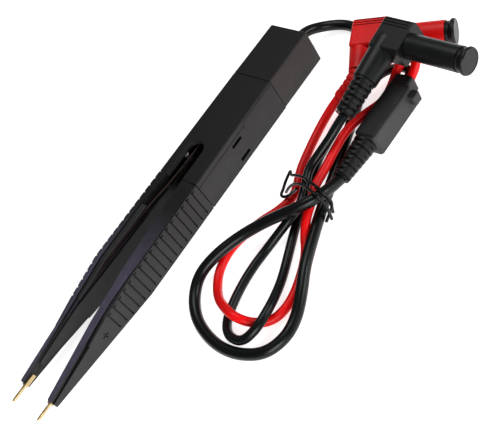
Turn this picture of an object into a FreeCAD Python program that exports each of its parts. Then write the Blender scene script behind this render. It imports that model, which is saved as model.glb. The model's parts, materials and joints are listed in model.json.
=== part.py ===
import FreeCAD, Part

import math
import os

from FreeCAD import Placement, Rotation, Vector

# Test tweezers with a two-core cable, a splitter and two 4 mm safety plugs, in millimetres.
# +X is the side of the plus arm, +Y points to the cable end, +Z up. The origin is under the middle
# of the tweezers, on the surface they lie on.

doc = FreeCAD.newDocument("test_tweezers")
sheet = doc.addObject("Spreadsheet::Sheet", "Sizes")
nodes = {}


# ---------------------------------------------------------------------------- sizes

class Size:
    """A length that knows its value and the spreadsheet formula it comes from."""

    def __init__(self, value, formula):
        self.value = float(value)
        self.formula = formula

    @staticmethod
    def of(item):
        return item if isinstance(item, Size) else Size(item, f"({float(item):.6f})")

    def join(self, other, sign, value):
        return Size(value, f"({self.formula} {sign} {other.formula})")

    def __add__(self, other):
        other = Size.of(other)
        return self.join(other, "+", self.value + other.value)

    def __sub__(self, other):
        other = Size.of(other)
        return self.join(other, "-", self.value - other.value)

    def __mul__(self, factor):
        factor = Size.of(factor)
        return self.join(factor, "*", self.value * factor.value)

    def __rsub__(self, other):
        return Size.of(other) - self

    def __neg__(self):
        return Size.of(0) - self

    __radd__ = __add__
    __rmul__ = __mul__


rows = []


def size(name, value):
    """One driving dimension: a cell of the sheet with an alias."""
    rows.append(name)
    sheet.set(f"A{len(rows)}", name)
    sheet.set(f"B{len(rows)}", str(value))
    sheet.setAlias(f"B{len(rows)}", name)
    return Size(value, f"Sizes.{name}")


half_length = size("half_length", 102.3)
cap_length = size("cap_length", 30)
grip_start = size("grip_start", 88)
knee_start = size("knee_start", 135)
arm_length = size("arm_length", 196)
slot_start = size("slot_start", 68)

rear_half = size("rear_half_width", 11.0)
cap_half = size("cap_half_width", 11.3)
grip_half = size("grip_half_width", 12.1)
knee_half = size("knee_half_width", 12.8)
tip_half = size("tip_half_width", 11.7)

body_height = size("body_height", 18)
grip_height = size("grip_height", 17.1)
knee_height = size("knee_height", 16.4)
tip_height = size("tip_height", 8.5)
tip_lift = size("tip_lift", 4.2)

wall = size("wall_thickness", 1.6)
seam = size("seam_gap", 0.3)
skin = size("cover_skin", 1.0)
deck = size("cover_deck", 2.4)
flange = size("flange_thickness", 1.4)
grip_wall = size("grip_wall", 2.0)
slot_left = size("slot_left", 7.4)
slot_right = size("slot_right", 3.0)

pivot_x = size("pivot_offset", 7.5)
pivot_y = size("pivot_from_centre", 27.3)
pin_radius = size("pivot_pin_radius", 1.25)
rib_pitch = size("rib_pitch", 3.9)
rib_width = size("rib_width", 0.7)
rib_depth = size("rib_depth", 0.65)

needle_x = size("needle_offset", 9.3)
needle_z = size("needle_height", 6.4)
needle_radius = size("needle_radius", 0.75)

cable_radius = size("cable_radius", 2.5)
lead_radius = size("lead_radius", 2.0)
tie_radius = size("tie_radius", 0.65)
wire_radius = size("wire_radius", 0.4)
cable_z = size("cable_height", 9)
grommet_radius = size("grommet_radius", 4.4)

shroud_radius = size("shroud_radius", 5.425)
shroud_bore = size("shroud_bore", 4.4)
shroud_start = size("shroud_start", 11)
shroud_end = size("shroud_end", 36.4)
plug_pin = size("plug_pin_radius", 2.0)
plug_half = size("plug_half_thickness", 5.7)
cap_rim = size("cap_rim_radius", 5.9)

TURN_TO_Y = Rotation(Vector(1, 0, 0), -90)      # a cylinder's Z axis laid along +Y
TURN_TO_X = Rotation(Vector(0, 1, 0), 90)       # a cylinder's Z axis laid along +X
CUT_REACH = 3                                   # how far a cutting tool runs past the solid


# ---------------------------------------------------------------------------- features

def bind(thing, prop, item):
    thing.setExpression(prop, Size.of(item).formula)


def locate(thing, x, y, z, turn=None):
    if turn is not None:
        thing.Placement = Placement(Vector(0, 0, 0), turn)
    for axis, item in zip("xyz", (x, y, z)):
        bind(thing, f"Placement.Base.{axis}", item)
    return thing


def box(name, x, y, z):
    """A box from low to high along each axis."""
    thing = doc.addObject("Part::Box", name)
    for prop, (low, high) in zip(("Length", "Width", "Height"), (x, y, z)):
        bind(thing, prop, Size.of(high) - low)
    return locate(thing, x[0], y[0], z[0])


def rod(name, radius, length, at, turn=None, tip_radius=None):
    """A cylinder, or a cone when it has a tip radius, that starts at a point and runs along its axis."""
    thing = doc.addObject("Part::Cylinder" if tip_radius is None else "Part::Cone", name)
    if tip_radius is None:
        bind(thing, "Radius", radius)
    else:
        bind(thing, "Radius1", radius)
        bind(thing, "Radius2", tip_radius)
    bind(thing, "Height", length)
    return locate(thing, *at, turn)


def fuse(name, things):
    if len(things) == 1:
        return things[0]
    thing = doc.addObject("Part::MultiFuse", name)
    thing.Shapes = things
    thing.Refine = True
    return thing


def cut(name, base, tools):
    thing = doc.addObject("Part::Cut", name)
    thing.Base = base
    thing.Tool = fuse(f"{name}_tools", tools)
    thing.Refine = True
    return thing


def slab(name, places, low_x, high_x, low_z, high_z):
    """A bar along Y, rear to front, with straight sides between its places."""
    pieces = []
    for number, (back, front) in enumerate(zip(places, places[1:])):
        wedge = doc.addObject("Part::Wedge", f"{name}_{number}")
        bind(wedge, "Ymin", front)
        bind(wedge, "Ymax", back)
        for prefix, y in (("", front), ("2", back)):
            bind(wedge, f"X{prefix}min", low_x(y))
            bind(wedge, f"X{prefix}max", high_x(y))
            bind(wedge, f"Z{prefix}min", low_z(y))
            bind(wedge, f"Z{prefix}max", high_z(y))
        pieces.append(wedge)
    return fuse(name, pieces)


def rounded(name, base, radius, wanted):
    """The base with a fillet on each edge whose middle and direction are wanted."""
    doc.recompute()
    picked = []
    for number, edge in enumerate(base.Shape.Edges, 1):
        middle = edge.valueAt((edge.FirstParameter + edge.LastParameter) / 2)
        along = edge.tangentAt((edge.FirstParameter + edge.LastParameter) / 2)
        if wanted(middle, along):
            picked.append((number, radius, radius))
    thing = doc.addObject("Part::Fillet", name)
    thing.Base = base
    thing.Edges = picked
    return thing


def node(label, thing):
    thing.Label = label
    nodes[label] = thing
    return thing


def mirrored(label, thing):
    """The same piece for the minus side."""
    twin = doc.addObject("Part::Mirroring", label)
    twin.Source = thing
    twin.Base = Vector(0, 0, 0)
    twin.Normal = Vector(1, 0, 0)
    return twin


def from_rear(distance):
    return half_length - distance


def on_line(y, places):
    """The value at y on a line through (y, value) places, given rear to front."""
    here = Size.of(y).value
    for (back, start), (front, end) in zip(places, places[1:]):
        back_y, front_y = Size.of(back).value, Size.of(front).value
        if here >= front_y - 1e-6 or (front, end) == places[-1]:
            share = (back_y - here) / (back_y - front_y)
            return Size.of(start) + (Size.of(end) - start) * share
    raise ValueError("y is outside the line")


rear_y = half_length
cap_y = from_rear(cap_length)
grip_y = from_rear(grip_start)
knee_y = from_rear(knee_start)
arm_y = from_rear(arm_length)
joint_gap = 0.2                    # half the gap between the handle and each arm
handle_front = grip_y + joint_gap
arm_rear = grip_y - joint_gap


def side(y):
    """Half the tweezers' width at y."""
    return on_line(y, [(rear_y, rear_half), (cap_y, cap_half), (grip_y, grip_half),
                       (knee_y, knee_half), (arm_y, tip_half)])


def top(y):
    return on_line(y, [(rear_y, body_height), (cap_y, body_height), (grip_y, grip_height),
                       (knee_y, knee_height), (arm_y, tip_height)])


def under(y):
    return on_line(y, [(rear_y, 0), (knee_y, 0), (arm_y, tip_lift)])


def level(height):
    return lambda y: Size.of(height)


# ---------------------------------------------------------------------------- handle

def lengthwise(along):
    return abs(along.y) > 0.9


def end_cap():
    """A moulded cap over the handle's rear, with the lower half of the cable clamp inside."""
    rear_wall = 3
    shell = slab("cap_shell", [rear_y, cap_y + seam], lambda y: -side(y), side, level(0), top)
    shell = rounded("cap_rounded", shell, 0.7, lambda middle, along: lengthwise(along) or middle.y > 102)
    room = slab("cap_room", [rear_y - rear_wall, cap_y - CUT_REACH], lambda y: wall - side(y),
                lambda y: side(y) - wall, level(wall), lambda y: top(y) - wall)
    saddle = box("cap_saddle", (-9.3, 9.3), (84, 91), (wall - 0.2, cable_z))
    hollow = cut("cap_hollow", shell, [room])
    holes = [rod("cap_bore", grommet_radius, rear_wall + CUT_REACH, (0, 98, cable_z), TURN_TO_Y),
             rod("cap_cable_seat", cable_radius, 12, (0, 82, cable_z), TURN_TO_Y)]
    holes += [rod(f"cap_screw_hole_{sign}", 1.1, 8, (sign * 5.5, 87.5, 4)) for sign in (-1, 1)]
    return cut("cap", fuse("cap_with_saddle", [hollow, saddle]), holes)


def upper_cover():
    """The cover over the handle, with side lips, two screw posts and the slot between the arms."""
    ends = [cap_y, handle_front]
    lip_drop = 2.7
    plate = slab("cover_plate", ends, lambda y: -side(y), side, lambda y: top(y) - skin, top)
    plate = rounded("cover_rounded", plate, 0.6,
                    lambda middle, along: lengthwise(along) and middle.z > 16.9)
    inner = slab("cover_deck", ends, lambda y: wall + 0.15 - side(y),
                 lambda y: side(y) - wall - 0.15, lambda y: top(y) - deck, lambda y: top(y) - skin * 0.9)
    lips = []
    for sign in (-1, 1):
        lips.append(slab(f"cover_lip_{sign}", [Size.of(50), handle_front],
                         (lambda y: side(y) - wall) if sign > 0 else (lambda y: -side(y)),
                         side if sign > 0 else (lambda y: wall - side(y)),
                         lambda y: top(y) - lip_drop, lambda y: top(y) - skin * 0.9))
    posts = [rod(f"cover_post_{y}", 3, 14.6, (0, y, 1.75)) for y in (66, 44)]
    whole = fuse("cover_whole", [plate, inner, *lips, *posts])
    slot_radius = (slot_left + slot_right) * 0.5
    slot_x = (slot_right - slot_left) * 0.5
    slot_y = from_rear(slot_start) - slot_radius
    holes = [rod("slot_end", slot_radius, 8, (slot_x, slot_y, 12)),
             box("slot", (-slot_left, slot_right), (handle_front - CUT_REACH, slot_y), (12, 20))]
    holes += [rod(f"post_hole_{y}", 1.25, 10, (0, y, 1.5)) for y in (66, 44)]
    return cut("cover", whole, holes)


def lower_shell():
    """Floor and both side panels of the handle, with the snap windows and the cover screws' seats."""
    ends = [cap_y, handle_front]
    tray = slab("tray", ends, lambda y: -side(y), side, level(0), lambda y: top(y) - skin - seam)
    room = slab("tray_room", [cap_y + CUT_REACH, handle_front - CUT_REACH], lambda y: wall - side(y),
                lambda y: side(y) - wall, level(wall), level(25))
    step = slab("tray_step", [Size.of(50 + 0.12), handle_front - CUT_REACH], lambda y: -side(y) - 1,
                lambda y: side(y) + 1, lambda y: top(y) - 2.7 - seam, level(25))
    windows = [box(f"window_{number}", (-15, 15), (38.7, 45.2), (low, low + 1.6))
               for number, low in enumerate((11.45, 2.45))]
    tray = cut("tray_open", tray, [room, step, *windows])
    seats = [rod(f"screw_seat_{y}", 4, 1.7, (0, y, 0)) for y in (66, 44)]
    holes = [rod(f"head_hole_{y}", 2.4, 2, (0, y, -0.8)) for y in (66, 44)]
    holes += [rod(f"shank_hole_{y}", 1.25, 4, (0, y, -0.5)) for y in (66, 44)]
    return cut("shell", fuse("tray_with_seats", [tray, *seats]), holes)


def cover_screws():
    heads = [rod(f"cover_head_{y}", 2.35, 1.0, (0, y, 0.2)) for y in (66, 44)]
    shanks = [rod(f"cover_shank_{y}", 1.25, 9.8, (0, y, 1.1)) for y in (66, 44)]
    return fuse("cover_screw_pair", heads + shanks)


def cable_grommet():
    sleeve = rod("grommet_sleeve", grommet_radius, 3, (0, rear_y - 3, cable_z), TURN_TO_Y)
    collar = rod("grommet_collar", grommet_radius + 1.2, 1.5, (0, rear_y - 4.5, cable_z), TURN_TO_Y)
    bore = rod("grommet_bore", cable_radius, 8, (0, rear_y - 6, cable_z), TURN_TO_Y)
    return cut("grommet", fuse("grommet_body", [sleeve, collar]), [bore])


def cable_clamp():
    bar = box("clamp_bar", (-8, 8), (85, 90), (cable_z + 0.05, 13.2))
    bore = rod("clamp_bore", cable_radius, 12, (0, 82, cable_z), TURN_TO_Y)
    holes = [rod(f"clamp_hole_{sign}", 1.1, 8, (sign * 5.5, 87.5, 8)) for sign in (-1, 1)]
    return cut("clamp", bar, [bore, *holes])


def clamp_screws():
    pieces = []
    for sign in (-1, 1):
        pieces.append(rod(f"clamp_shank_{sign}", 1.1, 9.3, (sign * 5.5, 87.5, 4)))
        pieces.append(rod(f"clamp_head_{sign}", 2.2, 1.6, (sign * 5.5, 87.5, 13.2)))
    return fuse("clamp_screw_pair", pieces)


def pivot_pins():
    return fuse("pin_pair", [rod(f"pin_{sign}", pin_radius, 13.2, (pivot_x * sign, pivot_y, wall))
                             for sign in (-1, 1)])


def return_spring():
    """A hairpin leaf between the two arms that pushes them open."""
    outer, leaf, bend_y, low_z, height = 4.5, 0.5, 36, 4, 5
    bend = cut("spring_bend", rod("spring_disc", outer, height, (0, bend_y, low_z)),
               [rod("spring_core", outer - leaf, height + 2, (0, bend_y, low_z - 1)),
                box("spring_half", (-9, 9), (bend_y - 9, bend_y), (low_z - 1, low_z + height + 1))])
    legs = [box(f"spring_leg_{number}", (low, low + leaf), (20, bend_y), (low_z, low_z + height))
            for number, low in enumerate((-outer, outer - leaf))]
    return fuse("spring", [bend, *legs])


node("end_cap", end_cap())
node("upper_cover", upper_cover())
node("lower_shell", lower_shell())
node("cover_screws", cover_screws())
node("cable_grommet", cable_grommet())
node("cable_end", rod("cable_tail", cable_radius, 22.3, (0, 80, cable_z), TURN_TO_Y))
node("cable_clamp", cable_clamp())
node("clamp_screws", clamp_screws())
node("pivot_pins", pivot_pins())
node("return_spring", return_spring())


# ---------------------------------------------------------------------------- cords

ARC_SHARE = 0.45                   # how much of the shorter run beside a corner its arc takes


def round_path(points):
    """Straight runs joined by tangent arcs; returns the wire, its length and its smallest radius."""
    spots = [Vector(*point) for point in points]
    start = spots[0]
    edges = []
    radii = []
    for before, here, after in zip(spots, spots[1:], spots[2:]):
        back = before - here
        ahead = after - here
        reach = ARC_SHARE * min(back.Length, ahead.Length)
        turn = math.pi - back.getAngle(ahead)
        radius = reach / math.tan(turn / 2)
        radii.append(radius)
        back.normalize()
        ahead.normalize()
        enter = here + back * reach
        leave = here + ahead * reach
        inward = back + ahead
        inward.normalize()
        centre = here + inward * (radius / math.cos(turn / 2))
        edges.append(Part.LineSegment(start, enter).toShape())
        edges.append(Part.Arc(enter, centre - inward * radius, leave).toShape())
        start = leave
    edges.append(Part.LineSegment(start, spots[-1]).toShape())
    return Part.Wire(edges), sum(edge.Length for edge in edges), min(radii)


def tube_shape(name, points, radius):
    path, length, tightest = round_path(points)
    ahead = Vector(*points[1]) - Vector(*points[0])
    ring = Part.Wire(Part.makeCircle(radius, Vector(*points[0]), ahead))
    shape = path.makePipeShell([ring], True, False)
    ratio = shape.Volume / (math.pi * radius * radius * length)
    print(f"{name}: length {length:.1f} mm, tightest radius {tightest:.1f} mm, volume ratio {ratio:.4f}")
    return shape


def tube(name, points, radius):
    """A plain tube along a rounded route."""
    thing = doc.addObject("Part::Feature", name)
    thing.Shape = tube_shape(name, points, Size.of(radius).value)
    return thing


MAIN_ROUTE = [
    (0, 102.3, 9), (0, 108, 9), (3, 116, 5), (12, 122, 2.5), (22, 121, 2.5), (30, 115, 2.5),
    (40, 99, 2.5), (48, 81, 2.5), (55, 60, 2.5), (60, 46, 2.5), (65, 30, 3), (72, 15, 4), (77, 4, 4.5),
    (82, -6, 3.5), (85, -15, 2.5), (86, -24, 2.5), (82, -33, 2.5), (72, -38, 2.5), (62, -39, 2.5),
    (52, -37, 2.5), (43, -33, 2.5), (36, -26, 3), (33, -17, 5), (36, -7, 7), (40, 3, 7), (46, 11, 8),
    (53, 17, 10), (61, 23, 12), (67, 31, 12), (67, 40, 8), (66.2, 45.3, 5.8)]

RED_ROUTE = [
    (40, 81, 6.5), (38.5, 77, 5), (37.5, 70, 3), (38, 62, 2), (40, 53, 2), (42, 45, 2), (45, 39, 2),
    (48, 32, 2), (46, 24, 2), (41, 16, 2), (38, 8, 2), (36, -1, 2), (38, -11, 2), (43, -18, 2.5),
    (49, -22.5, 4.5), (56, -25, 7), (64, -27, 8.5), (70, -25, 4), (76, -20, 2), (78, -12.5, 2),
    (76, -5, 2), (72, 4, 2), (68, 11, 2), (65, 17, 3.5), (63.5, 23, 6), (62, 30, 7.5), (59, 37, 8),
    (58, 45, 7.5), (56, 56, 7.5), (54, 66, 7.5), (54, 77, 7.5), (55, 88, 7.5), (55, 97, 8.5),
    (58, 103.5, 9), (63, 106, 9.5), (67.5, 102.5, 9), (67.5, 97.5, 7.5)]

BLACK_ROUTE = [
    (57, 67.5, 16.5), (56.5, 63.5, 15.5), (55, 57.5, 13), (52.5, 50, 10), (51, 43, 8), (54, 36, 7),
    (57, 29, 6.5), (57, 21, 6.5), (55, 14, 4.5), (52.5, 6, 2), (52, -4, 2), (53, -14, 2), (55, -23, 2),
    (58, -30, 2), (64.5, -34, 4), (72, -33.5, 5), (75.5, -27, 7), (75, -19, 7), (72.5, -12, 5),
    (69, -4, 3), (65, 4, 2), (57, 22, 2), (54.5, 30, 2), (53, 37, 2), (47, 51, 2), (46, 59, 2),
    (45.5, 66, 3), (48, 73, 6.5), (50, 80, 8.5), (50.5, 88, 8), (50.5, 95, 6.5), (52.5, 101, 5),
    (57.5, 104, 4), (62.5, 102.5, 4), (63.5, 97.5, 4)]

TIE_ROUTE = [
    (43.2, 36.4, 0.7), (43.6, 36.2, 3.6), (47.5, 36, 8), (53.5, 35.7, 11.2), (59.5, 35.4, 13.6),
    (65.5, 35, 15.8), (70.6, 34.6, 14.2), (71.8, 34.3, 9.4), (71.4, 34, 4), (71.6, 33.8, 0.7)]

node("main_cable", tube("main_tube", MAIN_ROUTE, cable_radius))
node("red_lead", tube("red_tube", RED_ROUTE, lead_radius))
node("black_lead", tube("black_tube", BLACK_ROUTE, lead_radius))
node("twist_tie", tube("tie_tube", TIE_ROUTE, tie_radius))


# ---------------------------------------------------------------------------- arms

WIRE_ROUTE = [(5.5, 22.5, 13.4), (6.1, 12, 13.4), (7.6, 2, 13.3), (8.3, -10, 13.1), (8.6, -28, 12.9),
              (9.0, -48, 11.8), (9.5, -68, 9.2), (9.4, -88.4, 6.3)]
LINK_ROUTE = [(1.3, 80, 9), (2.2, 75, 9.2), (4.6, 66, 11), (5.5, 54, 12.6), (5.5, 42, 13.3),
              (5.4, 31, 13.4), (5.5, 23, 13.4)]
PLATE_REAR = 10.3                  # where the inner plate starts, from the centre
PLATE_NOTCH = -55.7                # where the plate's lower edge steps up
PLATE_THIN = -72.7                 # where the plate starts to thin
PLATE_FRONT = -83.2
HOLDER_REAR = -88.5
HOLDER_FRONT = -94.4
HOLDER_X = (8.3, 10.3)
HOLDER_Z = (5.4, 7.4)


def inner(y):
    """The arm's inner face."""
    return on_line(y, [(arm_rear, 5.8), (knee_y, 6.6), (-57.7, 7.3), (arm_y, 8.9)])


def strip_edge(y):
    """The outer edge of the raised strip on the arm's top, where the grip starts."""
    return on_line(y, [(arm_rear, 11.7), (-27.7, 12.3), (-47.7, 10.6), (-57.7, 10.8), (-72.7, 11.2),
                       (arm_y, 11.5)])


def grip_top(y):
    return top(y) - on_line(y, [(arm_rear, 0.15), (-27.7, 0.2), (-52.7, 0.35), (-69.7, 1.3), (arm_y, 1.9)])


def core_inner(y):
    return inner(y) + on_line(y, [(arm_rear, 1.0), (PLATE_THIN, 1.0), (arm_y, 0.1)])


def grip_inner(y):
    return side(y) - on_line(y, [(arm_rear, grip_wall), (PLATE_THIN, grip_wall), (arm_y, 1.2)])


def front_corner(middle, along):
    """Whether an edge is an upright corner at the arm's front."""
    return abs(along.z) > 0.9 and middle.y < -93


def arm_core(name, rim):
    """Solid arm: rear boss on the pivot pin, body, top flange up to the rim, and the wire's channel."""
    bends = [arm_rear, knee_y, Size.of(-57.7), Size.of(PLATE_THIN), arm_y]
    body = slab(f"{name}_body", bends, core_inner, lambda y: grip_inner(y) - 0.15, under,
                lambda y: top(y) - flange)
    strip_places = [arm_rear, Size.of(-2.7), Size.of(-27.7), knee_y, Size.of(-47.7), Size.of(-57.7),
                    Size.of(-72.7), arm_y]
    strip = slab(f"{name}_strip", strip_places, rim, lambda y: strip_edge(y) - seam,
                 lambda y: top(y) - flange - 0.05, top)
    strip = rounded(f"{name}_strip_rounded", strip, 0.9, front_corner)
    boss = box(f"{name}_boss", (5.2, 9.5), (12, 33), (1.9, 12))
    whole = fuse(f"{name}_whole", [body, strip, boss])
    channel = slab(f"{name}_channel", [arm_rear + CUT_REACH, knee_y, Size.of(-52.7)], lambda y: inner(y) - 1,
                   lambda y: inner(y) + 3.0, level(12.0), lambda y: top(y) - flange)
    pocket = box(f"{name}_pocket", HOLDER_X, (HOLDER_FRONT - 1, HOLDER_REAR), HOLDER_Z)
    hole = rod(f"{name}_pin_hole", pin_radius + 0.05, 14, (pivot_x, pivot_y, 0))
    wire_hole = tube(f"{name}_wire_hole", WIRE_ROUTE, wire_radius + 0.05)
    return cut(f"{name}_core", whole, [channel, pocket, hole, wire_hole])


def arm_grip(name, sign_bars):
    """Outer grip with finger ribs along its rear half and the polarity mark near the knee."""
    lower = slab(f"{name}_lower", [arm_rear, knee_y, Size.of(PLATE_THIN), arm_y], grip_inner, side, under,
                 lambda y: on_line(y, [(arm_rear, top(arm_rear) - flange - seam - 0.05),
                                       (knee_y, top(knee_y) - flange - seam - 0.05),
                                       (PLATE_THIN, top(PLATE_THIN) - flange - seam - 0.05),
                                       (arm_y, top(arm_y) - 1.9)]))
    lower = rounded(f"{name}_lower_rounded", lower, 0.9,
                    lambda middle, along: front_corner(middle, along) and middle.x > 11)
    upper = slab(f"{name}_upper", [arm_rear, Size.of(-27.7), knee_y, Size.of(-47.7), Size.of(-52.7),
                                   Size.of(-57.7), Size.of(-66.7)],
                 strip_edge, side, lambda y: top(y) - flange - seam - 0.3, grip_top)
    grooves = []
    for number in range(1, 18):
        y = grip_y - rib_pitch * number
        low = 1.4 + 0.9 * max(0, number - 15)
        inside = side(y) - rib_depth
        grooves.append(box(f"{name}_rib_{number}", (inside, side(y) + 1),
                           (y - rib_width * 0.5, y + rib_width * 0.5), (low, top(y) + 1)))
        grooves.append(box(f"{name}_hook_{number}", (inside, side(y) + 1),
                           (y, y + 1.6), (top(y) - 1.45, top(y) - 0.85)))
    mark_y, mark_z, reach = -58.7, 7.1, 1.7
    inside = side(mark_y) - 0.5
    for bar in sign_bars:
        flat = bar == "flat"
        grooves.append(box(f"{name}_mark_{bar}", (inside, inside + 2),
                           (mark_y - (reach if flat else 0.3), mark_y + (reach if flat else 0.3)),
                           (mark_z - (0.3 if flat else reach), mark_z + (0.3 if flat else reach))))
    return cut(f"{name}_grip", fuse(f"{name}_grip_whole", [lower, upper]), grooves)


def inner_plate(name):
    """Plate along the arm's inner face; past its notch it stops above the arm's lower edge."""
    rear = [Size.of(PLATE_REAR), knee_y, Size.of(PLATE_NOTCH)]
    front = [Size.of(PLATE_NOTCH), Size.of(PLATE_THIN), Size.of(PLATE_FRONT)]
    lengths = []
    for end, places, lift in (("rear", rear, 0.4), ("front", front, 2.4)):
        lengths.append(slab(f"{name}_plate_{end}", places, inner,
                            lambda y: inner(y) + on_line(y, [(PLATE_REAR, 0.9), (PLATE_THIN, 0.9),
                                                             (PLATE_FRONT, 0.3)]),
                            lambda y: under(y) + lift,
                            lambda y: on_line(y, [(PLATE_REAR, 11.6), (PLATE_NOTCH, 11.4),
                                                  (PLATE_FRONT, top(PLATE_FRONT) - flange - 0.3)])))
    return fuse(f"{name}_plate", lengths)


def channel_rail(name, rim):
    """Thin rail beside the top strip, over the wire's channel."""
    return slab(f"{name}_rail_bar", [Size.of(-2.7), knee_y, Size.of(-52.7)],
                lambda y: inner(y) + 0.35, lambda y: rim(y) - seam,
                lambda y: top(y) - flange, lambda y: top(y) - 0.45)


def contact_holder(name):
    body = box(f"{name}_holder_body", HOLDER_X, (HOLDER_FRONT, HOLDER_REAR), HOLDER_Z)
    bore = rod(f"{name}_holder_bore", needle_radius, 12, (needle_x, HOLDER_FRONT - 2, needle_z), TURN_TO_Y)
    return cut(f"{name}_holder", body, [bore])


def needle(name):
    tip_length, tip_radius = 1.0, 0.45
    shank_front = tip_length - half_length
    shank_rear = HOLDER_REAR - 0.5
    shank = rod(f"{name}_shank", needle_radius, shank_rear - shank_front,
                (needle_x, shank_front, needle_z), TURN_TO_Y)
    point = rod(f"{name}_point", tip_radius, tip_length, (needle_x, -half_length, needle_z), TURN_TO_Y,
                tip_radius=needle_radius)
    return fuse(f"{name}_needle", [shank, point])


def plus_rim(y):
    return on_line(y, [(arm_rear, 3.2), (knee_y, 6.0), (-57.7, 6.3), (arm_y, 8.7)])


def minus_rim(y):
    return on_line(y, [(arm_rear, 7.4), (-2.7, 9.6), (knee_y, 9.6), (-57.7, 9.2), (arm_y, 9.1)])


for arm_name, rim, bars in (("plus", plus_rim, ("flat", "upright")), ("minus", minus_rim, ("flat",))):
    pieces = {"arm": arm_core(arm_name, rim),
              "grip": arm_grip(arm_name, bars),
              "inner_plate": inner_plate(arm_name),
              "contact_holder": contact_holder(arm_name),
              "needle": needle(arm_name),
              "wire": tube(f"{arm_name}_wire_tube", WIRE_ROUTE, wire_radius),
              "link_wire": tube(f"{arm_name}_link_tube", LINK_ROUTE, wire_radius)}
    if arm_name == "minus":
        pieces["rail"] = channel_rail(arm_name, rim)
    for piece, thing in pieces.items():
        label = f"{arm_name}_{piece}"
        node(label, thing if arm_name == "plus" else mirrored(label, thing))


# ---------------------------------------------------------------------------- splitter

def splitter_body():
    """Moulded block where the cable's two cores part, with a narrower end for the two leads."""
    block = box("splitter_block", (61.7, 72.6), (64, 93), (0, 11.2))
    neck = box("splitter_neck", (60.9, 70.4), (92, 97.5), (1.4, 10.4))
    block = rounded("splitter_block_rounded", block, 1.6, lambda middle, along: middle.z > 0.5)
    neck = rounded("splitter_neck_rounded", neck, 2.0, lambda middle, along: lengthwise(along))
    return fuse("splitter", [block, neck])


node("splitter_body", splitter_body())
node("splitter_boot", rod("boot_cone", 3.6, 18.7, (66.2, 45.3, 5.8), TURN_TO_Y, tip_radius=5.2))
node("splitter_clip", rounded("clip_rounded", box("clip_block", (72.6, 75.6), (88.6, 93), (3.2, 8.8)), 0.8,
                              lambda middle, along: middle.x > 74))


# ---------------------------------------------------------------------------- plugs

def plug(colour, spot, neck_end, root_radius, end_radius):
    """Right-angle 4 mm safety plug: barrel along +X, cable neck along -Y, in its own frame."""
    block = box(f"{colour}_block", (-4.6, shroud_start), (-7, 8.5), (-plug_half, plug_half))
    block = rounded(f"{colour}_block_rounded", block, 1.4, lambda middle, along: middle.x < 8)
    neck = rod(f"{colour}_neck", end_radius, -neck_end - 1.5, (0, neck_end, 0), TURN_TO_Y,
               tip_radius=root_radius)
    dome = doc.addObject("Part::Sphere", f"{colour}_dome")
    bind(dome, "Radius", root_radius)
    bind(dome, "Placement.Base.y", -1.5)
    tools = [rod(f"{colour}_pin_hole", 1.6, 5, (8, 0, 0), TURN_TO_X)]
    for number in range(3):
        middle = 4.4 + 1.4 * number
        for sign in (-1, 1):
            levels = sorted((sign * (plug_half.value - 0.3), sign * (plug_half.value + 1)))
            tools.append(box(f"{colour}_groove_{number}_{sign}", (-3.4, 9.6), (middle - 0.2, middle + 0.2),
                             levels))
    body = cut(f"{colour}_body", fuse(f"{colour}_block_and_neck", [block, neck, dome]), tools)

    shroud_length = shroud_end - shroud_start
    shroud = cut(f"{colour}_shroud",
                 rod(f"{colour}_shroud_rod", shroud_radius, shroud_length, (shroud_start, 0, 0), TURN_TO_X),
                 [rod(f"{colour}_shroud_hole", shroud_bore, shroud_length + 4, (shroud_start - 1, 0, 0),
                      TURN_TO_X)])

    pin = fuse(f"{colour}_pin_parts",
               [rod(f"{colour}_pin_root", 1.6, 4, (8, 0, 0), TURN_TO_X),
                rod(f"{colour}_pin_base", plug_pin, 4.2, (shroud_start, 0, 0), TURN_TO_X),
                rod(f"{colour}_pin_waist", plug_pin - 0.5, 17, (14.5, 0, 0), TURN_TO_X),
                rod(f"{colour}_pin_head", plug_pin, 3, (31, 0, 0), TURN_TO_X, tip_radius=1.4)])
    spring = cut(f"{colour}_spring",
                 rod(f"{colour}_spring_rod", plug_pin, 15.6, (15.2, 0, 0), TURN_TO_X),
                 [rod(f"{colour}_spring_hole", plug_pin - 0.47, 18, (14, 0, 0), TURN_TO_X)])

    cap_start, cap_end = 34.5, 41
    cap = fuse(f"{colour}_cap_parts",
               [rod(f"{colour}_cap_stem", shroud_bore - 0.1, 3, (cap_start, 0, 0), TURN_TO_X),
                rod(f"{colour}_cap_collar", 4.9, 3, (shroud_end + 0.1, 0, 0), TURN_TO_X),
                rod(f"{colour}_cap_rim", cap_rim, 2, (cap_end - 2, 0, 0), TURN_TO_X)])

    for piece, thing in (("body", body), ("shroud", shroud), ("pin", pin), ("spring", spring), ("cap", cap)):
        node(f"{colour}_plug_{piece}", thing).Placement = spot


red_spot = Placement(Vector(36.6, 108.9, 11.5), Rotation(26, 6, 2))
black_spot = Placement(Vector(58.3, 104.2, 22), Rotation(-2, 0, 8.2))
RED_NECK = -18
BLACK_NECK = -20
plug("red", red_spot, RED_NECK, 5.8, 4.1)
plug("black", black_spot, BLACK_NECK, 6.1, 5.4)

relief_start = red_spot.multVec(Vector(0, RED_NECK, 0))
RED_RELIEF = [tuple(relief_start), (44.5, 89.5, 10.5), (43.7, 86, 9.5), (42, 83, 8), RED_ROUTE[0]]
node("red_plug_relief", tube("red_relief_tube", RED_RELIEF, 3.2))
relief_end = Vector(*BLACK_ROUTE[0])
relief_axis = black_spot.multVec(Vector(0, BLACK_NECK, 0)) - relief_end
relief = rod("black_relief_cone", 4.2, relief_axis.Length, tuple(relief_end), tip_radius=4.9)
relief.Placement = Placement(relief_end, Rotation(Vector(0, 0, 1), relief_axis))
node("black_plug_relief", relief)


# ---------------------------------------------------------------------------- check and write

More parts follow.
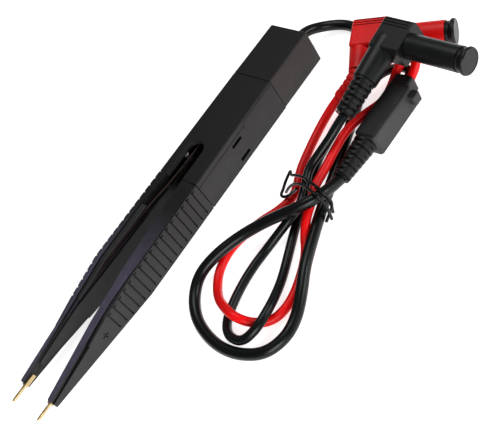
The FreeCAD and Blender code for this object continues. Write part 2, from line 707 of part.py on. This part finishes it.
def check_and_write():
    doc.recompute()
    for thing in doc.Objects:
        if "Invalid" in thing.State or "Error" in thing.State:
            raise RuntimeError(f"{thing.Name} failed: {thing.State}")
    os.makedirs("parts", exist_ok=True)
    for label, thing in nodes.items():
        shape = thing.Shape
        if shape.isNull() or not shape.isValid() or not shape.Solids:
            raise RuntimeError(f"{label} has no valid solid")
        room = shape.BoundBox
        print(f"{label}: {len(shape.Solids)} solid(s), {shape.Volume:.1f} mm3, "
              f"x {room.XMin:.2f} {room.XMax:.2f}, y {room.YMin:.2f} {room.YMax:.2f}, "
              f"z {room.ZMin:.2f} {room.ZMax:.2f}")
        shape.exportStep(f"parts/{label}.step")


check_and_write()
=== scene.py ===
import json
import math

import bpy
from mathutils import Matrix, Vector


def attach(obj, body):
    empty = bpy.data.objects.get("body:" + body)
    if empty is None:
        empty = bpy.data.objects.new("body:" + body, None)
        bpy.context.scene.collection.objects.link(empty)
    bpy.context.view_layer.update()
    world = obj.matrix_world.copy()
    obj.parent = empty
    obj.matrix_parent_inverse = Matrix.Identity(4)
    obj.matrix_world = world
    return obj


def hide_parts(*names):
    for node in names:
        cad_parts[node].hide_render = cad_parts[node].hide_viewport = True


# Looks for the test tweezers and their leads, in the frame's axes. Routes, profiles and radii are in
# millimetres, everything else is in metres.

MM = 0.001
MAIN_CORD_RADIUS = 2.5
LEAD_RADIUS = 2.0
TIE_RADIUS = 0.65

EDGE_SOFTNESS = 0.35 * MM          # how far shading rounds a sharp edge
PAINTED_SHADE_REACH = 1.2 * MM              # how far the painted shade darkens an inner corner's colour
SHEEN_FADE_Y = -36 * MM              # the Y where an arm's top has its painted sheen in full
PAINTED_TOP_FACING = (0.55, 0.8)           # upward share of a normal where the painted top shade starts and is full

# Scales of the noise textures, in cells per metre.
MOTTLE = 45.0
GLOSS_PATCHES = 160.0
STREAKS = 300.0
METAL_PATCHES = 500.0
SCRATCHES = 900.0

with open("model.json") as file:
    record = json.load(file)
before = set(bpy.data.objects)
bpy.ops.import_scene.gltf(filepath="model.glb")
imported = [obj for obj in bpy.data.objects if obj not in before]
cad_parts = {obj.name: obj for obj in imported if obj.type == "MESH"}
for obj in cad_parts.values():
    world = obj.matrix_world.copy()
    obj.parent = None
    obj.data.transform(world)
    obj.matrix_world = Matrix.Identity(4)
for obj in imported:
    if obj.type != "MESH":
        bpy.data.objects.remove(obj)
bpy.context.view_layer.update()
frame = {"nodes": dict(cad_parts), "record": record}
scene = bpy.context.scene
nodes = frame["nodes"]


# ---------------------------------------------------------------------------- materials

def new_material(name):
    """A new material with its node tree and its main shader."""
    material = bpy.data.materials.new(name)
    material.use_nodes = True
    shader = material.node_tree.nodes["Principled BSDF"]
    return material, material.node_tree, shader


def noise(tree, scale, detail=3.0, roughness=0.6):
    """A noise texture in the object's own coordinates."""
    coords = tree.nodes.new("ShaderNodeTexCoord")
    texture = tree.nodes.new("ShaderNodeTexNoise")
    texture.inputs["Scale"].default_value = scale
    texture.inputs["Detail"].default_value = detail
    texture.inputs["Roughness"].default_value = roughness
    tree.links.new(coords.outputs["Object"], texture.inputs["Vector"])
    return texture


def spread(tree, source, low, high, socket):
    """Maps a texture's grey onto a range of numbers."""
    ramp = tree.nodes.new("ShaderNodeMapRange")
    ramp.inputs["From Min"].default_value = 0.3
    ramp.inputs["From Max"].default_value = 0.7
    ramp.inputs["To Min"].default_value = low
    ramp.inputs["To Max"].default_value = high
    tree.links.new(source, ramp.inputs["Value"])
    tree.links.new(ramp.outputs["Result"], socket)


def tint(tree, source, low, high, socket):
    """Maps a texture's grey onto two colours."""
    ramp = tree.nodes.new("ShaderNodeValToRGB")
    ramp.color_ramp.elements[0].position = 0.35
    ramp.color_ramp.elements[0].color = (*low, 1)
    ramp.color_ramp.elements[1].position = 0.65
    ramp.color_ramp.elements[1].color = (*high, 1)
    tree.links.new(source, ramp.inputs["Fac"])
    tree.links.new(ramp.outputs["Color"], socket)
    return ramp


def grain(tree, shader, scale, depth, strength=0.35):
    """Fine surface texture as bump."""
    texture = noise(tree, scale, detail=2.0)
    bump = tree.nodes.new("ShaderNodeBump")
    bump.inputs["Strength"].default_value = strength
    bump.inputs["Distance"].default_value = depth
    soft_edge = tree.nodes.new("ShaderNodeBevel")
    soft_edge.samples = 4
    soft_edge.inputs["Radius"].default_value = EDGE_SOFTNESS
    tree.links.new(soft_edge.outputs["Normal"], bump.inputs["Normal"])
    tree.links.new(texture.outputs["Fac"], bump.inputs["Height"])
    tree.links.new(bump.outputs["Normal"], shader.inputs["Normal"])


def paint_corner_shade(tree, shader):
    """Painted shade: darkens the base colour inside seams, grooves and inner corners, where shade falls."""
    corner = tree.nodes.new("ShaderNodeAmbientOcclusion")
    corner.samples = 6
    corner.inputs["Distance"].default_value = PAINTED_SHADE_REACH
    contrast = tree.nodes.new("ShaderNodeMapRange")
    contrast.inputs["From Min"].default_value = 0.35
    contrast.inputs["From Max"].default_value = 0.95
    contrast.inputs["To Min"].default_value = 0.08
    mix = tree.nodes.new("ShaderNodeMix")
    mix.data_type = "RGBA"
    mix.blend_type = "MULTIPLY"
    mix.inputs["Factor"].default_value = 1.0
    tree.links.new(corner.outputs["AO"], contrast.inputs["Value"])
    tree.links.new(shader.inputs["Base Color"].links[0].from_socket, mix.inputs["A"])
    tree.links.new(contrast.outputs["Result"], mix.inputs["B"])
    tree.links.new(mix.outputs["Result"], shader.inputs["Base Color"])


def shade(colour, factor):
    """A colour made darker or lighter."""
    return tuple(min(1.0, part * factor) for part in colour)


def plastic(name, colour, roughness, grain_scale=2500.0, grain_depth=0.12 * MM, strength=0.35, coat=0.0,
            gloss=0.35):
    """Moulded plastic: slight mottling, uneven gloss and a fine texture."""
    material, tree, shader = new_material(name)
    patches = noise(tree, MOTTLE)
    tint(tree, patches.outputs["Fac"], shade(colour, 0.88), shade(colour, 1.12),
         shader.inputs["Base Color"])
    spread(tree, noise(tree, GLOSS_PATCHES).outputs["Fac"], roughness - 0.05, roughness + 0.06,
           shader.inputs["Roughness"])
    shader.inputs["Specular IOR Level"].default_value = gloss
    shader.inputs["Coat Weight"].default_value = coat
    shader.inputs["Coat Roughness"].default_value = 0.15
    grain(tree, shader, grain_scale, grain_depth, strength)
    return material


def painted_top_light_plastic(name, lit_side_colour, painted_top_colour, roughness, painted_sheen_colour=None):
    """Plastic with painted light: upward faces get a darker painted top shade than the lighter sides, and
    the top may also get a painted sheen towards the needles.
    """
    material = plastic(name, lit_side_colour, roughness, gloss=0.3)
    tree = material.node_tree
    shader = tree.nodes["Principled BSDF"]
    side_link = shader.inputs["Base Color"].links[0].from_socket
    # Painted light: faces whose normal points up take the darker top colour, and the rest keep the lighter
    # side colour.
    geometry = tree.nodes.new("ShaderNodeNewGeometry")
    split = tree.nodes.new("ShaderNodeSeparateXYZ")
    tree.links.new(geometry.outputs["True Normal"], split.inputs["Vector"])
    painted_top_mask = tree.nodes.new("ShaderNodeMapRange")
    painted_top_mask.inputs["From Min"].default_value = PAINTED_TOP_FACING[0]
    painted_top_mask.inputs["From Max"].default_value = PAINTED_TOP_FACING[1]
    tree.links.new(split.outputs["Z"], painted_top_mask.inputs["Value"])
    mix = tree.nodes.new("ShaderNodeMix")
    mix.data_type = "RGBA"
    tree.links.new(painted_top_mask.outputs["Result"], mix.inputs["Factor"])
    tree.links.new(side_link, mix.inputs["A"])
    streaks = noise(tree, STREAKS)
    ramp = tint(tree, streaks.outputs["Fac"], shade(painted_top_colour, 0.85), shade(painted_top_colour, 1.15),
                mix.inputs["B"])
    tree.links.new(mix.outputs["Result"], shader.inputs["Base Color"])
    if painted_sheen_colour is not None:
        # Painted sheen: along the object's Y, the top colour turns to the purple-grey sheen colour towards
        # the needles.
        coords = tree.nodes.new("ShaderNodeTexCoord")
        place = tree.nodes.new("ShaderNodeSeparateXYZ")
        tree.links.new(coords.outputs["Object"], place.inputs["Vector"])
        reach = tree.nodes.new("ShaderNodeMapRange")
        reach.inputs["From Min"].default_value = 0.0
        reach.inputs["From Max"].default_value = SHEEN_FADE_Y
        tree.links.new(place.outputs["Y"], reach.inputs["Value"])
        blend = tree.nodes.new("ShaderNodeMix")
        blend.data_type = "RGBA"
        tree.links.new(reach.outputs["Result"], blend.inputs["Factor"])
        tree.links.new(ramp.outputs["Color"], blend.inputs["A"])
        tint(tree, streaks.outputs["Fac"], shade(painted_sheen_colour, 0.85), shade(painted_sheen_colour, 1.15),
             blend.inputs["B"])
        tree.links.new(blend.outputs["Result"], mix.inputs["B"])
    return material


def metal(name, colour, roughness):
    """Bare metal with fine scratches."""
    material, tree, shader = new_material(name)
    shader.inputs["Metallic"].default_value = 1.0
    scratches = noise(tree, SCRATCHES, detail=6.0)
    tint(tree, scratches.outputs["Fac"], shade(colour, 0.85), shade(colour, 1.1),
         shader.inputs["Base Color"])
    spread(tree, noise(tree, METAL_PATCHES).outputs["Fac"], roughness - 0.06, roughness + 0.1,
           shader.inputs["Roughness"])
    grain(tree, shader, 3000.0, 0.04 * MM, 0.2)
    return material


# Painted light: the top colours are painted shade and the side colours painted light on one black plastic;
# the strip colour is a painted sheen.
PAINTED_TOP_SHADE = (0.0022, 0.0022, 0.0025)
LIT_SIDE_GREY = (0.020, 0.019, 0.020)
LIT_CAP_SIDE = (0.027, 0.023, 0.022)
PAINTED_STRIP_SHEEN = (0.070, 0.060, 0.095)
CORD_BLACK = (0.0012, 0.002, 0.0022)
PLUG_RED = (0.78, 0.0025, 0.003)


def cord_plastic(name, colour, roughness, coat):
    """Soft cord sheath: a smoother, longer texture than moulded plastic."""
    return plastic(name, colour, roughness, 1200.0, 0.06 * MM, 0.12, coat=coat, gloss=0.2)


# The top-and-side plastics here, the splitter's too, paint a darker top and lighter sides as light.
looks = {
    "case_black": painted_top_light_plastic("cover_plastic", LIT_SIDE_GREY, PAINTED_TOP_SHADE, 0.5),
    "cap_black": painted_top_light_plastic("cap_plastic", LIT_CAP_SIDE, PAINTED_TOP_SHADE, 0.5),
    "grip_grey": painted_top_light_plastic("grip_plastic", LIT_SIDE_GREY, (0.02, 0.02, 0.022), 0.52),
    # The arms' tops carry a painted purple-grey sheen towards the needles.
    "arm_black": painted_top_light_plastic("arm_plastic", (0.006, 0.006, 0.0065), PAINTED_TOP_SHADE, 0.42, PAINTED_STRIP_SHEEN),
    "plate_grey": plastic("plate_plastic", (0.022, 0.022, 0.023), 0.5, gloss=0.25),
    "rubber_black": plastic("boot_rubber", (0.003, 0.0035, 0.004), 0.42, strength=0.2, gloss=0.25),
    "steel": metal("screw_steel", (0.55, 0.55, 0.56), 0.3),
    "spring_steel": metal("spring_steel", (0.35, 0.35, 0.36), 0.35),
    "gold": metal("gold_contact", (0.62, 0.47, 0.24), 0.34),
    "brass": metal("pin_brass", (0.70, 0.52, 0.25), 0.28),
    "wire_orange": plastic("wire_orange", (0.02, 0.007, 0.004), 0.5, strength=0.1),
    "cable_black": cord_plastic("cord_black_pvc", CORD_BLACK, 0.3, 0.1),
    "lead_red": cord_plastic("cord_red_pvc", PLUG_RED, 0.36, 0.06),
    "lead_black": cord_plastic("lead_black_pvc", (0.001, 0.0025, 0.003), 0.3, 0.1),
    "splitter_grey": painted_top_light_plastic("splitter_plastic", (0.030, 0.030, 0.032), (0.005, 0.005, 0.0055),
                                      0.5),
    "tie_black": plastic("tie_plastic", (0.001, 0.0013, 0.0015), 0.3, strength=0.1, coat=0.1, gloss=0.2),
    "plug_red": plastic("plug_red_plastic", PLUG_RED, 0.42, strength=0.2, coat=0.04, gloss=0.22),
    "plug_black": plastic("plug_black_plastic", (0.003, 0.0036, 0.004), 0.38, strength=0.2, coat=0.05,
                          gloss=0.25),
}

slot_of = {part["node"]: part["material_slot"] for part in frame["record"]["subparts"]}
# Painted shade in the seams, grooves and inner corners of these moulded materials.
for slot in ("case_black", "cap_black", "grip_grey", "arm_black", "plate_grey", "plug_red", "plug_black"):
    moulded = looks[slot].node_tree
    paint_corner_shade(moulded, moulded.nodes["Principled BSDF"])

for name, thing in nodes.items():
    thing.data.materials.clear()
    thing.data.materials.append(looks[slot_of[name]])


# ---------------------------------------------------------------------------- cords

# Each route runs from the end cap, or from a plug's relief, to the splitter. Some points are moved
# from the CAD's routes, so that the red lead passes behind the splitter.
MAIN_ROUTE = [
    (0, 102.3, 9), (0, 108, 9), (3, 116, 5), (12, 122, 2.5), (22, 121, 2.5), (30, 115, 2.5),
    (40, 99, 2.5), (48, 81, 2.5), (55, 60, 2.5), (60, 46, 2.5), (65, 30, 3), (72, 15, 5), (77, 4, 6),
    (82, -6, 4.5), (85, -15, 2.5), (86, -24, 2.5), (82, -33, 2.5), (72, -38, 2.5), (62, -39, 2.5),
    (52, -37, 2.5), (43, -33, 2.5), (36, -26, 3), (33, -17, 5), (36, -7, 7), (40, 3, 7), (46, 11, 8),
    (53, 17, 10), (61, 23, 12), (67, 31, 12), (67, 40, 8), (66.2, 45.3, 5.8)]

RED_ROUTE = [
    (40, 81, 6.5), (38.5, 77, 5), (37.5, 70, 3), (38, 62, 2), (40, 53, 2), (42, 45, 2), (45, 39, 2),
    (48, 32, 2), (46, 24, 2), (41, 16, 2), (38, 8, 2), (36, -1, 2), (38, -11, 2), (43, -18, 2.5),
    (49, -22.5, 4.5), (56, -25, 7), (64, -27, 8.5), (70, -25, 4), (76, -20, 2), (78, -12.5, 2),
    (77, -5, 2), (73.8, 4, 2), (70, 11.5, 2), (66, 17, 3.5), (63.5, 23, 6), (62, 30, 7.5), (59, 37, 8),
    (58, 45, 7.5), (56, 56, 7.5), (55, 66, 7.5), (56.5, 76, 6), (58.5, 87, 2.5), (58.5, 95, 4),
    (58.5, 102, 8), (60.5, 107, 9.5), (65.5, 107, 9.5), (67.5, 102.5, 8.5), (67.5, 97.5, 7.5)]

BLACK_ROUTE = [
    (57, 67.5, 16.5), (56.5, 63.5, 15.5), (55, 57.5, 13), (52.5, 50, 10), (51, 43, 8), (54, 36, 7),
    (57, 29, 6.5), (57, 21, 6.5), (55, 14, 4.5), (52.5, 6, 2), (52, -4, 2), (53, -14, 2), (55, -23, 2),
    (58, -30, 2), (64.5, -34, 4), (72, -33.5, 5), (75.5, -27, 7), (75, -19, 7), (72.5, -12, 5),
    (69, -4, 3), (65, 4, 2), (57, 22, 2), (54.5, 30, 2), (53, 37, 2), (47, 51, 2), (46, 59, 2),
    (45.5, 66, 3), (48, 73, 6.5), (50, 80, 8.5), (50.5, 88, 8), (50.5, 95, 6.5), (52, 101, 5),
    (56, 105, 4), (61.5, 105, 4), (63.5, 101, 4), (63.5, 97.5, 4)]


def add_spline(data, points, resolution=10):
    """An open smooth spline through a curve's data; points are in millimetres."""
    spline = data.splines.new("NURBS")
    spline.points.add(len(points) - 1)
    for place, point in zip(spline.points, points):
        place.co = (point[0] * MM, point[1] * MM, point[2] * MM, 1)
    spline.order_u = 3
    spline.use_endpoint_u = True
    spline.resolution_u = resolution


def spline_curve(name, points, radius, resolution=10):
    """A round cord along a smooth spline; the radius is in millimetres too."""
    data = bpy.data.curves.new(name, "CURVE")
    data.dimensions = "3D"
    add_spline(data, points, resolution)
    data.bevel_depth = radius * MM
    data.bevel_resolution = 5
    data.use_fill_caps = True
    thing = bpy.data.objects.new(name, data)
    scene.collection.objects.link(thing)
    return thing


def dress(thing, slot, body="handle", replaced=()):
    """Material, body and replaced CAD nodes of a new piece."""
    thing.data.materials.clear()
    thing.data.materials.append(looks[slot])
    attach(thing, body)
    if replaced:
        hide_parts(*replaced)
    return thing


def spline_line(points):
    """Points along the smooth spline of a route, as vectors in metres."""
    guide = spline_curve("guide", points, 0, 24)
    bpy.context.view_layer.update()
    mesh = bpy.data.meshes.new_from_object(guide.evaluated_get(bpy.context.evaluated_depsgraph_get()))
    line = [vertex.co.copy() for vertex in mesh.vertices]
    data = guide.data
    bpy.data.objects.remove(guide)
    bpy.data.curves.remove(data)
    bpy.data.meshes.remove(mesh)
    return line


def along(line, share):
    """Point and direction at a share of a line's length."""
    lengths = [(b - a).length for a, b in zip(line, line[1:])]
    left = share * sum(lengths)
    for (a, b), length in zip(zip(line, line[1:]), lengths):
        if left <= length or b is line[-1]:
            return a + (b - a) * min(1, left / length), (b - a).normalized()
        left -= length


BAR_EDGE = 0.86                    # the cosine beyond which a point of a groove is on its bar


def turned(name, line, profile, sides=48):
    """A closed body around a line. A profile row is (share of the length, radius in mm, bar): in a
    groove, bar is its number and the radius outside it, so that two short bars cross the groove."""
    verts, faces = [], []
    side = None
    for share, radius, bar in profile:
        point, ahead = along(line, share)
        if side is None:
            side = ahead.orthogonal().normalized()
        side = (side - ahead * side.dot(ahead)).normalized()
        other = ahead.cross(side)
        for step in range(sides):
            angle = 2 * math.pi * step / sides
            reach = radius
            if bar is not None and abs(math.cos(angle + bar[0] * math.pi / 2)) > BAR_EDGE:
                reach = bar[1]
            verts.append(point + (side * math.cos(angle) + other * math.sin(angle)) * reach * MM)
    for ring in range(len(profile) - 1):
        for step in range(sides):
            here, after = ring * sides + step, ring * sides + (step + 1) % sides
            faces.append((here, after, after + sides, here + sides))
    last = (len(profile) - 1) * sides
    faces.append(tuple(reversed(range(sides))))
    faces.append(tuple(last + step for step in range(sides)))
    mesh = bpy.data.meshes.new(name)
    mesh.from_pydata(verts, [], faces)
    mesh.polygons.foreach_set("use_smooth", [True] * len(mesh.polygons))
    mesh.set_sharp_from_angle(angle=math.radians(35))
    thing = bpy.data.objects.new(name, mesh)
    scene.collection.objects.link(thing)
    return thing


def ribbed_profile(rings, start_radius, end_radius, groove, width=0.58, bars=True):
    """Rings with grooves between them, from one radius to another. Width is a ring's share of its pitch,
    and a row of ring_outline is (place in the pitch, depth below the full radius)."""
    ring_outline = ((0.0, 0.22), (0.05, 0.05), (0.1, 0.0), (width - 0.1, 0.0), (width - 0.05, 0.05),
                    (width, 0.22), (width + 0.02, groove), (0.98, groove))
    profile = []
    for ring in range(rings):
        for offset, depth in ring_outline:
            share = (ring + offset) / rings
            outside = start_radius + (end_radius - start_radius) * share
            in_groove = depth == groove
            profile.append((share, outside - depth, (ring, outside - 0.12) if in_groove and bars else None))
    profile.append((1.0, end_radius - 0.2, None))
    return profile


main_cord = dress(spline_curve("main_cord", MAIN_ROUTE, MAIN_CORD_RADIUS), "cable_black",
                  replaced=("main_cable",))
red_cord = dress(spline_curve("red_cord", RED_ROUTE[::-1], LEAD_RADIUS), "lead_red",
                 replaced=("red_lead",))
black_cord = dress(spline_curve("black_cord", BLACK_ROUTE[::-1], LEAD_RADIUS), "lead_black",
                   replaced=("black_lead",))


# ---------------------------------------------------------------------------- boots and reliefs

BOOT_START = (66.2, 64, 5.8)
boot_line = [Vector(BOOT_START) * MM, Vector(MAIN_ROUTE[-1]) * MM]
boot = dress(turned("boot_rings", boot_line, ribbed_profile(8, 5.2, 3.6, 0.95, 0.64)),
             "rubber_black", replaced=("splitter_boot",))

RED_RELIEF = [(44.4, 92.7, 10.9), (44.5, 89.5, 10.5), (43.7, 86, 9.5), (42, 83, 8), RED_ROUTE[0]]
red_relief = dress(turned("red_relief_sleeve", spline_line(RED_RELIEF),
                          ribbed_profile(5, 3.7, 2.7, 0.3, 0.8, bars=False)),
                   "plug_red", replaced=("red_plug_relief",))

BLACK_RELIEF = [(57.6, 84.4, 19.2), BLACK_ROUTE[0]]
black_relief = dress(turned("black_relief_rings", [Vector(point) * MM for point in BLACK_RELIEF],
                            ribbed_profile(7, 4.9, 4.2, 1.2)),
                     "plug_black", replaced=("black_plug_relief",))


# ---------------------------------------------------------------------------- plug caps

# Rows are (distance from the plug's own origin along its barrel, radius).
CAP_PROFILE = [(34.5, 4.0), (34.7, 4.25), (36.42, 4.25), (36.45, 5.0), (36.95, 5.1), (37.3, 4.85),
               (37.8, 4.8), (38.3, 5.0), (38.75, 5.45), (39.15, 5.78), (39.6, 5.9), (40.1, 5.85),
               (40.5, 5.65), (40.75, 5.3), (40.75, 5.0), (40.6, 4.8)]
# Each plug's own origin, in millimetres, and the direction of its barrel.
PLUG_AXES = {"red": ((36.6, 108.9, 11.5), (0.8939, 0.436, -0.1045)),
             "black": ((58.3, 104.2, 22), (0.9994, -0.0349, 0))}


def plug_cap(colour):
    """The soft cap pushed into the barrel's end, with its flared rim."""
    root, ahead = (Vector(item) for item in PLUG_AXES[colour])
    near = CAP_PROFILE[0][0]
    far = max(distance for distance, _ in CAP_PROFILE)
    line = [(root + ahead * near) * MM, (root + ahead * far) * MM]
    profile = [((distance - near) / (far - near), radius, None) for distance, radius in CAP_PROFILE]
    return dress(turned(f"{colour}_cap_rim", line, profile), "plug_black", body=f"{colour}_cap",
                 replaced=(f"{colour}_plug_cap",))


red_cap, black_cap = plug_cap("red"), plug_cap("black")


# ---------------------------------------------------------------------------- twist tie

TIE_STRANDS = {
    "outer": [(42.5, 40, 7), (44.5, 38, 7.5), (48, 38, 9.5), (54, 37.5, 11.5), (60, 35.5, 13.5),
              (66, 34, 15), (70, 33, 11), (70, 33, 6), (69, 32, 1)],
    "post": [(42, 40, 6.5), (42, 36, 5.5), (43, 32, 4.5), (43.5, 29.5, 4.5), (46, 28.5, 5), (49, 30.5, 5.5),
             (54, 32, 10.5)],
    "inner": [(43, 32.5, 2), (46, 33.5, 6), (51, 34, 10), (57, 33.5, 13), (64, 31.5, 15.5),
              (69, 30, 15.5), (71, 30, 10), (71, 29.5, 5), (70.5, 29, 1)],
    "tail": [(65.5, 33.5, 15), (69.5, 33, 13), (70.5, 33.5, 8), (70.5, 32, 5), (70, 29.5, 3.5),
             (69, 27, 1)]}

tie = spline_curve("tie_band", TIE_STRANDS["outer"], TIE_RADIUS)
for strand in ("post", "inner", "tail"):
    add_spline(tie.data, TIE_STRANDS[strand])
dress(tie, "tie_black", replaced=("twist_tie",))


# ---------------------------------------------------------------------------- floor, light, camera

def area_light(name, place, target, size, power):
    """A round soft light that faces a target; size in metres, power in watts."""
    data = bpy.data.lights.new(name, "AREA")
    data.shape = "DISK"
    data.size = size
    data.energy = power
    thing = bpy.data.objects.new(name, data)
    thing.location = place
    direction = Vector(target) - Vector(place)
    thing.rotation_euler = direction.to_track_quat("-Z", "Y").to_euler()
    scene.collection.objects.link(thing)


FLOOR_HALF = 6.0
FLOOR_DROP = 0.2 * MM
FLOOR_GLOW = 0.75                  # lifts the paper to an even white
SKY_STRENGTH = 0.2

corners = [(-FLOOR_HALF, -FLOOR_HALF, 0), (FLOOR_HALF, -FLOOR_HALF, 0), (FLOOR_HALF, FLOOR_HALF, 0),
           (-FLOOR_HALF, FLOOR_HALF, 0)]
floor_mesh = bpy.data.meshes.new("floor")
floor_mesh.from_pydata(corners, [], [(0, 1, 2, 3)])
floor = bpy.data.objects.new("floor", floor_mesh)
floor.location = (0, 0, -FLOOR_DROP)
scene.collection.objects.link(floor)
floor_material, _, floor_shader = new_material("floor_paper")
floor_shader.inputs["Base Color"].default_value = (0.9, 0.9, 0.9, 1)
floor_shader.inputs["Roughness"].default_value = 0.9
floor_shader.inputs["Specular IOR Level"].default_value = 0.0
floor_shader.inputs["Emission Color"].default_value = (1, 1, 1, 1)
floor_shader.inputs["Emission Strength"].default_value = FLOOR_GLOW
floor.data.materials.append(floor_material)

world = bpy.data.worlds.new("studio")
world.use_nodes = True
sky = world.node_tree.nodes["Background"]
sky.inputs["Color"].default_value = (1, 1, 1, 1)
sky.inputs["Strength"].default_value = SKY_STRENGTH
scene.world = world

middle = (0.03, 0.02, 0.01)
area_light("key", (0.55, -0.3, 0.22), middle, 0.4, 2.8)
area_light("top", (-0.1, 0.3, 0.7), middle, 0.5, 2.0)
area_light("side", (0.6, 0.5, 0.3), middle, 0.4, 2.0)

scene.view_settings.view_transform = "Standard"
scene.view_settings.look = "None"

# The photograph's camera, worked out from the edges of the tweezers.
LENS = 72.85
SENSOR_WIDTH = 36.0
CAMERA_PLACE = (0.30313, -0.09001, 0.29677)
CAMERA_RIGHT = (0.6944, 0.5676, -0.4423)
CAMERA_FORWARD = (-0.6579, 0.2516, -0.7098)

camera_data = bpy.data.cameras.new("camera")
camera_data.lens = LENS
camera_data.sensor_width = SENSOR_WIDTH
camera_data.clip_start = 0.01
camera = bpy.data.objects.new("camera", camera_data)
right = Vector(CAMERA_RIGHT).normalized()
forward = Vector(CAMERA_FORWARD).normalized()
right = (right - forward * right.dot(forward)).normalized()
upward = right.cross(forward)
turn = Matrix((right, upward, -forward)).transposed().to_4x4()
camera.matrix_world = Matrix.Translation(CAMERA_PLACE) @ turn
scene.collection.objects.link(camera)
scene.camera = camera
